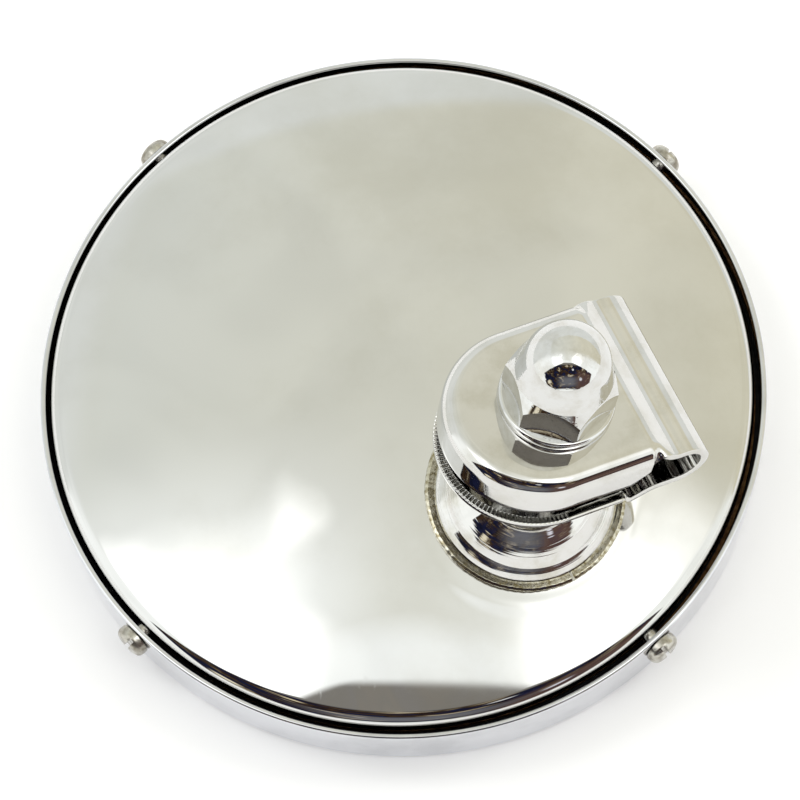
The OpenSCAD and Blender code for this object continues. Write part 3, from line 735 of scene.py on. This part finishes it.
class MIRROR_OT_strap(bpy.types.Operator):
    """Folds the strap: top jaw with its skirt, eye, and lower jaw with its beaded lip"""

    bl_idname = "mirror.strap"
    bl_label = "Clamp strap"

    def execute(self, context):
        clamp = context.scene.mirror_clamp
        t, half, off = clamp.strap_thickness, clamp.strap_width / 2, clamp.round_offset
        low, top = clamp.jaw_height, clamp.jaw_height + clamp.strap_height
        eye_r = clamp.bar_radius + t
        eye_x, eye_z = clamp.eye_reach - eye_r, low + clamp.low_step + eye_r
        top_step = top - (eye_z + eye_r)
        right, tip, beads = math.pi / 2, 110, 264

        def turned(count, start, end, z):
            """Stations that turn about the round end's centre, from one angle to another."""
            a = np.radians(np.linspace(start, end, count))
            across = np.stack([np.cos(a), np.sin(a), 0 * a], axis=1)
            return np.stack([0 * a - off, 0 * a, 0 * a + z], axis=1), across, a

        # The top jaw's round end, then its straight part with its step
        place1, across1, _ = turned(tip, 180, 90, top)
        x2 = np.linspace(-off, eye_x, 90)[1:-1]
        z2, slope = eased_step(x2, 10.8, 5.4, -top_step)
        lean = np.sqrt(1 + slope**2)
        place2 = np.stack([x2, 0 * x2, top + z2], axis=1)
        normal2 = np.stack([-slope / lean, 0 * x2, 1 / lean], axis=1)
        # The eye
        psi = np.radians(np.linspace(90, -90, 48))
        ring = np.stack([np.cos(psi), 0 * psi, np.sin(psi)], axis=1)
        place3 = np.array([eye_x, 0, eye_z]) + eye_r * ring
        # The lower jaw's straight part with its step, then its round end
        x4 = np.linspace(eye_x, -off, 100)[1:-1]
        z4, slope = eased_step(x4, 7.5, 6.0, clamp.low_step)
        lean = np.sqrt(1 + slope**2)
        place4 = np.stack([x4, 0 * x4, low + z4], axis=1)
        normal4 = np.stack([slope / lean, 0 * x4, -1 / lean], axis=1)
        place5, across5, a5 = turned(beads, 90, 180, low)
        place = np.vstack([place1, place2, place3, place4, place5])
        up, sideways = np.array([0, 0, 1.0]), np.array([0, 1.0, 0])
        straight = len(x2) + len(psi) + len(x4)
        across = np.vstack([across1, np.tile(sideways, (straight, 1)), across5])
        normal = np.vstack([np.tile(up, (tip, 1)), normal2, ring, normal4, np.tile(-up, (beads, 1))])

        # At each station: how far the sheet's edge is turned down, its leg's length, and its radius
        skirt_leg, skirt_r, lip_leg, lip_r, bead_h = 5.0, 2.9, 0.6, 1.7, 0.09
        ramp = np.clip((x2 - 7.6) / 5.4, 0, 1)
        unroll = smooth(np.clip((x2 - 10.8) / 3.9, 0, 1))
        lip = smooth(np.clip((9.0 - x4) / 2.4, 0, 1))
        bend = np.concatenate([np.full(tip, right), right * (1 - unroll), 0 * psi, right * lip,
                               np.full(beads, right)])
        bead = bead_h * np.cos(2 * math.pi * half * (a5 - right) / clamp.bead_pitch)
        leg = np.concatenate([np.full(tip, skirt_leg), skirt_leg - (skirt_leg - lip_leg) * ramp,
                              0 * psi + lip_leg, 0 * lip + lip_leg, lip_leg + bead])
        radius = np.concatenate([np.full(tip + len(x2), skirt_r), 0 * psi + skirt_r,
                                 skirt_r - (skirt_r - lip_r) * lip, np.full(beads, lip_r)])
        points = bent_sheet(place, normal, across, bend, leg, radius, half, t)
        rows, columns = points.shape[:2]
        points = points.reshape(-1, 3)
        faces = grid_faces(rows, columns)
        # The other half is its mirror image, with its faces turned to match
        points = np.vstack([points, points * np.array([1, -1, 1])])
        faces = np.vstack([faces, faces[:, ::-1] + rows * columns])
        mesh = new_mesh("strap", placed(points, BALL, STRAP), faces, 38)
        # Chrome plate on bent strip: fine ripples and haze all over, and wipe marks
        finish = plated("strap_chrome", "#DCDBD9", "#CFCDC7", (0.02, 0.1), 7, 9, 0.1, 0.35, 0.06)
        obj = add_piece("clamp_strap_folded", mesh, finish, "clamp", "strap_chrome", "clamp_strap")
        hole_r, spare = 4.85, 2
        hole = np.array([[0, low - spare], [hole_r, low - spare], [hole_r, top + spare], [0, top + spare]])
        points, faces = revolve(hole, 96, False)
        cut(obj, placed(points, BALL, STRAP), faces)
        return {"FINISHED"}


class MIRROR_OT_washer(bpy.types.Operator):
    """Makes the plain washer and the toothed washer"""

    bl_idname = "mirror.washer"
    bl_label = "Washers"

    def execute(self, context):
        clamp = context.scene.mirror_clamp
        low = clamp.jaw_height + clamp.strap_height
        inner, outer, t = 5.0, clamp.washer_radius, clamp.washer_thickness
        profile = rounded([[inner, low, 0.2], [outer, low, 0.45], [outer, low + t, 0.6],
                           [inner, low + t, 0.2]], 8)
        # Chrome plate on a stamped washer: bright, its edges rounded by polishing
        finish = plated("washer_chrome", "#DDDDDC", "#CBC9C3", (0.02, 0.1), 4, 8, 0.05)
        points, faces = revolve(profile, 192)
        add_piece("plain_washer_ring", new_mesh("washer", placed(points, BALL, STUD), faces), finish,
                  "washer", "washer_chrome", "plain_washer")
        # Teeth: the ring's outer edge is pulled in by 0.9 mm wherever the sine of sixteen times the turn is below
        # nought, which leaves sixteen teeth
        base = clamp.jaw_height - 0.3
        around = 320
        a = np.linspace(0, 2 * math.pi, around, endpoint=False)[:, None]
        profile = rounded([[5.0, -0.25, 0.05], [8.6, -0.25, 0.05], [8.6, 0.25, 0.05], [5.0, 0.25, 0.05]], 3)
        r, z = profile[None, :, 0] + 0 * a, profile[None, :, 1] + 0 * a
        tooth = np.clip(np.sin(16 * a) * 3, -1, 1)
        far = np.clip((r - 7.0) / 1.6, 0, 1)
        r = r - far * 0.9 * (tooth < 0)
        points = np.stack([r * np.cos(a), r * np.sin(a), base + z], axis=-1).reshape(-1, 3)
        # Zinc plate on spring steel: pale grey with a soft shine
        finish = worked_metal("zinc_washer", "#C9CACB", "#9A9B9A", (0.15, 0.35), 0.3, 0.3)
        faces = grid_faces(around, len(profile), True, True)
        mesh = new_mesh("tooth_washer", placed(points, BALL, STUD), faces)
        add_piece("tooth_washer_ring", mesh, finish, "stud", "zinc_steel", "tooth_washer")
        return {"FINISHED"}


class MIRROR_OT_nut(bpy.types.Operator):
    """Makes the tall acorn nut"""

    bl_idname = "mirror.nut"
    bl_label = "Acorn nut"

    def execute(self, context):
        clamp = context.scene.mirror_clamp
        corner, dome = clamp.hex_radius, clamp.dome_radius
        flat_z, top_r, top_z, dome_z, depth, bore = 4.5, 8.2, 7.2, 9.7, 13.0, 4.83
        base = clamp.jaw_height + clamp.strap_height + clamp.washer_thickness
        around = 384
        a = np.linspace(0, 2 * math.pi, around, endpoint=False)[:, None]
        # The hexagon: its radius is the apothem over the cosine of the angle from the flat's middle
        hexagon = corner * math.cos(math.pi / 6) / np.cos((a % (math.pi / 3)) - math.pi / 6)
        # The cone meets each flat where its radius is the hexagon's, which draws the arcs
        arc_z = flat_z + (corner - hexagon) * (top_z - flat_z) / (corner - top_r)
        low_z = np.maximum(0, 0.6 * (hexagon - (corner - 1)))
        share = np.linspace(0, 1, 12)[None, :]
        wall_r, wall_z = hexagon + 0 * share, low_z + (arc_z - low_z) * share
        upper = rounded(np.vstack([[[corner, flat_z, 0], [top_r, top_z, 0.8], [7.35, 10.7, 0.0]],
                                   arc(0, dome_z, dome, 12, 90, 40), [[0, flat_z, 0]]]), 8)
        first = int(np.argmin(np.linalg.norm(upper - [corner, flat_z], axis=1)))
        upper = np.roll(upper, -first, axis=0)[1:-1]
        upper[-1, 0] = 0
        start_r, start_z = upper[0]
        share = np.linspace(0, 1, 10)[None, 1:-1]
        cone_r, cone_z = hexagon + (start_r - hexagon) * share, arc_z + (start_z - arc_z) * share
        one = np.ones_like(a)
        r = np.hstack([0 * one, bore * one, bore * one, (bore + 0.4) * one, np.minimum(hexagon, corner - 1),
                       wall_r, cone_r, upper[None, :, 0] * one])
        z = np.hstack([depth * one, depth * one, 0.4 * one, 0 * one, 0 * one, wall_z, cone_z,
                       upper[None, :, 1] * one])
        spin = a + clamp.hex_turn
        points = np.stack([r * np.cos(spin), r * np.sin(spin), z + base], axis=-1).reshape(-1, 3)
        mesh = new_mesh("nut", placed(points, BALL, STUD), grid_faces(around, r.shape[1], True, False), 25)
        # Chrome plate on a turned nut: bright, with small pits in the plate
        finish = plated("nut_chrome", "#DCDCDB", "#CFCDC8", (0.02, 0.07), 3, 8, 0.04, 0.3, 0.04, 0.12)
        obj = add_piece("acorn_nut_turned", mesh, finish, "nut", "nut_chrome", "acorn_nut")
        soften(obj, 0.22, 3, 14)
        return {"FINISHED"}


class MIRROR_OT_inner_parts(bpy.types.Operator):
    """Gives the parts inside the head their finishes"""

    bl_idname = "mirror.inner_parts"
    bl_label = "Parts inside the head"

    def execute(self, context):
        finishes = {
            # Pressed card: dull brown with pale fibres
            "backing_card": soft_stock("pressed_card", "#6B5136", "#8A6E4C", 0.95, 2.0, 0.3, 0.2),
            # Cork sheet: warm tan grains
            "packing_ring": soft_stock("cork_sheet", "#A87E52", "#6E4A2B", 0.9, 1.5, 0.5, 0.25),
            # Zinc plate on steel: pale, a little cloudy
            "clinch_nuts": worked_metal("zinc_plate", "#C8CACA", "#9EA09E", (0.2, 0.4), 0.3, 0.2),
            # Bronze, turned and greased: dark gold
            "ball_seat": worked_metal("greased_bronze", "#B08A4E", "#6F5228", (0.2, 0.45), 0.3, 0.2),
            # Blued spring steel, oiled: nearly black, with a soft shine
            "disc_springs": worked_metal("oiled_spring_steel", "#5A5C62", "#33343A", (0.22, 0.4), 0.4, 0.15),
            # Brass, turned: yellow with brown tarnish
            "adjuster_plug": worked_metal("turned_brass", "#C8A860", "#8C6F38", (0.18, 0.4), 0.3, 0.2),
        }
        finishes["ring_nut"] = finishes["adjuster_plug"]
        finishes["backing_washer"] = finishes["clinch_nuts"]
        for name, material in finishes.items():
            mesh = frame["nodes"][name].data
            mesh.materials.clear()
            mesh.materials.append(material)
        return {"FINISHED"}


# ---------- stage ----------


class MIRROR_OT_stage(bpy.types.Operator):
    """Lays the floor, hangs the light tent and sets the camera"""

    bl_idname = "mirror.stage"
    bl_label = "Stage"

    def execute(self, context):
        scene, finish = context.scene, context.scene.mirror_finish
        self.floor(finish)
        self.tent(scene, finish)
        self.lamps()
        self.camera(scene)
        # Plain display colours, so that the white paper stays white
        scene.view_settings.view_transform = "Standard"
        return {"FINISHED"}

    def floor(self, finish):
        """A flat sheet of white paper under the rim"""
        reach, steps = 1500.0, 3
        line = np.linspace(-reach, reach, steps)
        x, y = np.meshgrid(line, line, indexing="ij")
        points = np.stack([x.ravel(), y.ravel(), np.full(x.size, -0.05)], axis=1)
        mesh = new_mesh("floor", points, grid_faces(steps, steps))
        if mesh.polygons[0].normal.z < 0:
            mesh.flip_normals()
        obj = bpy.data.objects.new("floor", mesh)
        bpy.context.scene.collection.objects.link(obj)
        # Matt white paper: nearly no gloss, a fine tooth
        material, tree, shader = empty_material("white_paper")
        where = add(tree, "ShaderNodeTexCoord").outputs["Object"]
        tooth = add(tree, "ShaderNodeTexNoise", Vector=where, Scale=per_mm(1.5), Detail=4.0)
        bump = add(tree, "ShaderNodeBump", Height=tooth, Strength=0.05, Distance=0.05 * MM)
        tree.links.new(bump.outputs[0], shader.inputs["Normal"])
        shader.inputs["Base Color"].default_value = finish.floor_colour
        shader.inputs["Roughness"].default_value = 0.9
        shader.inputs["Specular IOR Level"].default_value = 0.1
        # Painted light: the paper glows a little, evenly all over, which lifts the shade round the rim
        shader.inputs["Emission Color"].default_value = (1.0, 1.0, 1.0, 1.0)
        shader.inputs["Emission Strength"].default_value = 0.2
        mesh.materials.append(material)

    def tent(self, scene, finish):
        """A light tent: a soft roof and walls, bright at the front corners, with a dark front opening"""
        world = bpy.data.worlds.new("light_tent")
        scene.world = world
        world.use_nodes = True
        tree = world.node_tree
        tree.nodes.clear()
        way = add(tree, "ShaderNodeTexCoord").outputs["Generated"]
        parts = add(tree, "ShaderNodeSeparateXYZ", Vector=way)
        up = add(tree, "ShaderNodeMath", {"operation": "MAXIMUM"}, i0=parts.outputs[2], i1=0.02)
        # Where the direction meets a flat roof one unit up
        gx = add(tree, "ShaderNodeMath", {"operation": "DIVIDE"}, i0=parts.outputs[0], i1=up)
        gy = add(tree, "ShaderNodeMath", {"operation": "DIVIDE"}, i0=parts.outputs[1], i1=up)
        width = add(tree, "ShaderNodeMath", {"operation": "ABSOLUTE"}, i0=gx)
        # Degrees from straight up, split along the same two axes: ax to the right and ay to the front
        steep = add(tree, "ShaderNodeMath", {"operation": "ARCCOSINE"}, i0=parts.outputs[2])
        flat = add(tree, "ShaderNodeCombineXYZ", X=parts.outputs[0], Y=parts.outputs[1])
        reach = add(tree, "ShaderNodeVectorMath", {"operation": "LENGTH"}, i0=flat).outputs[1]
        reach = add(tree, "ShaderNodeMath", {"operation": "MAXIMUM"}, i0=reach, i1=0.0001)
        per = add(tree, "ShaderNodeMath", {"operation": "DIVIDE"}, i0=steep, i1=reach)
        per = add(tree, "ShaderNodeMath", {"operation": "MULTIPLY"}, i0=per, i1=180 / math.pi)
        ax = add(tree, "ShaderNodeMath", {"operation": "MULTIPLY"}, i0=parts.outputs[0], i1=per)
        ay = add(tree, "ShaderNodeMath", {"operation": "MULTIPLY"}, i0=parts.outputs[1], i1=per)
        ay = add(tree, "ShaderNodeMath", {"operation": "MULTIPLY"}, i0=ay, i1=-1.0)
        # Folds in the cloth
        folds = add(tree, "ShaderNodeTexNoise", Vector=way, Scale=2.2, Detail=1.5, Distortion=1.6)
        stir = add(tree, "ShaderNodeMapRange", Value=folds, From_Min=0.3, From_Max=0.7, To_Min=-1.0,
                   To_Max=1.0)

        def lay(under, over, *masks):
            """One colour laid over another, as far as the product of its masks

            A mask is a node, or a soft edge: a value, where it is gone, where it is full, and how
            much is laid there.
            """
            share = 1.0
            for mask in masks:
                if isinstance(mask, tuple):
                    value, gone, full, most = mask
                    mask = add(tree, "ShaderNodeMapRange", SMOOTH, Value=value, From_Min=gone,
                               From_Max=full, To_Max=most)
                share = add(tree, "ShaderNodeMath", {"operation": "MULTIPLY"}, i0=share, i1=mask)
            return add(tree, "ShaderNodeMix", COLOURS, i0=share, i6=under, i7=over).outputs[2]

        def spot(x, y, inner, outer, ragged=0.0):
            """A soft round mask about one pair of ax and ay, in degrees, its edge moved by the folds"""
            here = add(tree, "ShaderNodeCombineXYZ", X=ax, Y=ay)
            away = add(tree, "ShaderNodeVectorMath", {"operation": "DISTANCE"}, i0=here, i1=(x, y, 0))
            away = add(tree, "ShaderNodeMath", {"operation": "MULTIPLY_ADD"}, i0=stir, i1=ragged,
                       i2=away.outputs[1])
            return away, outer, inner, 1.0

        # Walls of white cloth, with a roof panel of warmer cloth that is cooler to its left
        wall = (0.9, 0.925, 0.885, 1)
        warm = add(tree, "ShaderNodeMapRange", Value=gx, From_Min=-0.7, From_Max=0.9)
        roof = lay(tuple(finish.wall_colour), tuple(finish.warm_colour), warm)
        far = add(tree, "ShaderNodeMath", {"operation": "MULTIPLY_ADD"}, i0=gx, i1=-0.3, i2=gy)
        colour = lay(wall, roof, (gx, -0.95, -0.8, 1.0), (far, 1.6, 1.46, 1.0))
        shade = add(tree, "ShaderNodeMapRange", SMOOTH, Value=folds, From_Min=0.35, From_Max=0.65,
                    To_Min=0.965, To_Max=1.03)
        # Towards the front the roof is lit from both sides, and glows
        rise = add(tree, "ShaderNodeMapRange", SMOOTH, Value=gy, From_Min=0.32, From_Max=-0.14)
        sides = add(tree, "ShaderNodeMapRange", SMOOTH, Value=width, From_Max=0.3, To_Min=0.3)
        pale = add(tree, "ShaderNodeMath", {"operation": "MULTIPLY"}, i0=rise, i1=sides)
        near = add(tree, "ShaderNodeMapRange", SMOOTH, Value=gy, From_Min=-0.1, From_Max=-0.25)
        pale = add(tree, "ShaderNodeMath", {"operation": "MAXIMUM"}, i0=pale, i1=near)
        colour = lay(colour, (1.24, 1.27, 1.24, 1), pale)
        colour = add(tree, "ShaderNodeVectorMath", {"operation": "SCALE"}, i0=colour, Scale=shade)
        for x, y, inner, outer in ((-24.5, 12.0, 0, 18), (25.5, 8.0, 0, 17)):
            colour = lay(colour, (3.0, 3.0, 2.95, 1), spot(x, y, inner, outer, 6.0))
        # The front opening: a dim room beyond it, seen past the roof's front edge
        edge = add(tree, "ShaderNodeMath", {"operation": "MULTIPLY_ADD"}, i0=ay, i1=3.0, i2=-40.0)
        edge = add(tree, "ShaderNodeMath", {"operation": "MINIMUM"}, i0=edge, i1=67.0)
        off = add(tree, "ShaderNodeMath", {"operation": "SUBTRACT"}, i0=ax, i1=3.5)
        side = add(tree, "ShaderNodeMath", {"operation": "ABSOLUTE"}, i0=off)
        inside = add(tree, "ShaderNodeMath", {"operation": "SUBTRACT"}, i0=edge, i1=side)
        stretch = add(tree, "ShaderNodeMapping", Vector=way, Scale=(1.0, 1.0, 1.9), Location=(0.7, 0.2, 0.1))
        shapes = add(tree, "ShaderNodeTexNoise", Vector=stretch, Scale=4.2, Detail=3.0, Distortion=0.9)
        room = add(tree, "ShaderNodeValToRGB", i0=shapes)
        stops = room.color_ramp.elements
        stops[0].position, stops[0].color = 0.34, linear("#141523")
        stops[1].position, stops[1].color = 0.68, linear("#D9CDB4")
        for position, code in ((0.43, "#23294A"), (0.47, "#17141A"), (0.53, "#4E3A28"), (0.57, "#2A2420"),
                               (0.61, "#7A6C55")):
            stop = stops.new(position)
            stop.color = linear(code)
        dim = lay(room.outputs[0], linear("#6E5650"), (ay, 30.0, 45.0, 0.7), (ax, 18.0, 40.0, 1.0))
        dim = lay(dim, linear("#85868C"), (side, 40.0, 8.0, 0.75), (ay, 46.0, 60.0, 1.0),
                  (ay, 86.0, 70.0, 1.0))
        dim = lay(dim, linear("#9C9890"), (ay, 24.5, 20.5, 0.8))
        colour = lay(colour, dim, (inside, -1.5, 1.5, 1.0), (ay, 16.6, 17.8, 1.0), (ay, 89.0, 83.0, 1.0))
        # Small bright things in the room
        for x, y, inner, outer, code in ((-20, 36, 1.2, 2.6, "#FFF0C8"), (16, 34, 1.6, 3.4, "#FFFFFF"),
                                         (-52, 62, 3, 7, "#FFF6DC"), (-47, 84, 2, 6, "#FFFFFF"),
                                         (40, 56, 2, 6, "#F4F4FF")):
            colour = lay(colour, linear(code), spot(x, y, inner, outer))
        # Straight from the camera the tent is plain and pale
        seen = add(tree, "ShaderNodeLightPath").outputs["Is Camera Ray"]
        back = add(tree, "ShaderNodeBackground", Color=lay(colour, linear("#F4F4F4"), seen), Strength=1.0)
        add(tree, "ShaderNodeOutputWorld", i0=back)

    def lamps(self):
        """Two broad soft lamps, left and right above the mirror"""
        watts, across = 3.2, 0.45
        for name, x, y, z in (("left_lamp", -0.85, 0.35, 1.15), ("right_lamp", 1.0, 0.45, 1.15)):
            light = bpy.data.lights.new(name, "AREA")
            light.shape = "DISK"
            light.size = across
            light.energy = watts
            obj = bpy.data.objects.new(name, light)
            obj.location = (x, y, z)
            obj.rotation_euler = Vector((-x, -y, -z)).to_track_quat("-Z", "Y").to_euler()
            # They light the paper only: the chrome shows the tent's own glow
            obj.visible_glossy = False
            bpy.context.scene.collection.objects.link(obj)

    def camera(self, scene):
        """A long lens, high over the near side and a little to the right, rolled a few degrees"""
        turn, rise, roll = (math.radians(v) for v in (-6.4, 69.6, -5.3))
        distance = 0.8
        forward = np.array([math.sin(turn) * math.cos(rise), math.cos(turn) * math.cos(rise),
                            -math.sin(rise)])
        right = np.array([math.cos(turn), -math.sin(turn), 0.0])
        up = np.cross(right, forward)
        across = math.cos(roll) * right + math.sin(roll) * up
        upright = -math.sin(roll) * right + math.cos(roll) * up
        aim = (across * -0.86 + upright * 2.17) * MM
        data = bpy.data.cameras.new("camera")
        data.sensor_width = 36.0
        data.lens = 203.27
        data.clip_start = 0.01
        obj = bpy.data.objects.new("camera", data)
        place = Matrix.Identity(4)
        for i in range(3):
            place[i][0], place[i][1], place[i][2] = across[i], upright[i], -forward[i]
            place[i][3] = aim[i] - forward[i] * distance
        obj.matrix_world = place
        scene.collection.objects.link(obj)
        scene.camera = obj


PARTS = (MIRROR_OT_rim, MIRROR_OT_glass, MIRROR_OT_back, MIRROR_OT_screws, MIRROR_OT_seat_ring,
         MIRROR_OT_housing, MIRROR_OT_stud, MIRROR_OT_strap, MIRROR_OT_washer, MIRROR_OT_nut,
         MIRROR_OT_inner_parts, MIRROR_OT_stage)


class MIRROR_PT_panel(bpy.types.Panel):
    """Lists the mirror's pieces and their sizes"""

    bl_label = "Rear-view mirror"
    bl_idname = "MIRROR_PT_panel"
    bl_space_type = "VIEW_3D"
    bl_region_type = "UI"
    bl_category = "Mirror"

    def draw(self, context):
        for group in ("mirror_head", "mirror_joint", "mirror_clamp", "mirror_finish"):
            settings = getattr(context.scene, group)
            box = self.layout.box()
            for name in settings.__annotations__:
                box.prop(settings, name)
        for part in PARTS:
            self.layout.operator(part.bl_idname)


SETTINGS = {"mirror_head": MirrorHeadSettings, "mirror_joint": MirrorJointSettings,
            "mirror_clamp": MirrorClampSettings, "mirror_finish": MirrorFinishSettings}


def register():
    for name, group in SETTINGS.items():
        bpy.utils.register_class(group)
        setattr(bpy.types.Scene, name, bpy.props.PointerProperty(type=group))
    for part in (*PARTS, MIRROR_PT_panel):
        bpy.utils.register_class(part)


def unregister():
    for part in reversed((*PARTS, MIRROR_PT_panel)):
        bpy.utils.unregister_class(part)
    for name, group in reversed(SETTINGS.items()):
        delattr(bpy.types.Scene, name)
        bpy.utils.unregister_class(group)


def main():
    """Registers the add-on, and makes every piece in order."""
    register()
    for part in PARTS:
        group, name = part.bl_idname.split(".")
        getattr(getattr(bpy.ops, group), name)()


if __name__ == "__main__":
    main()
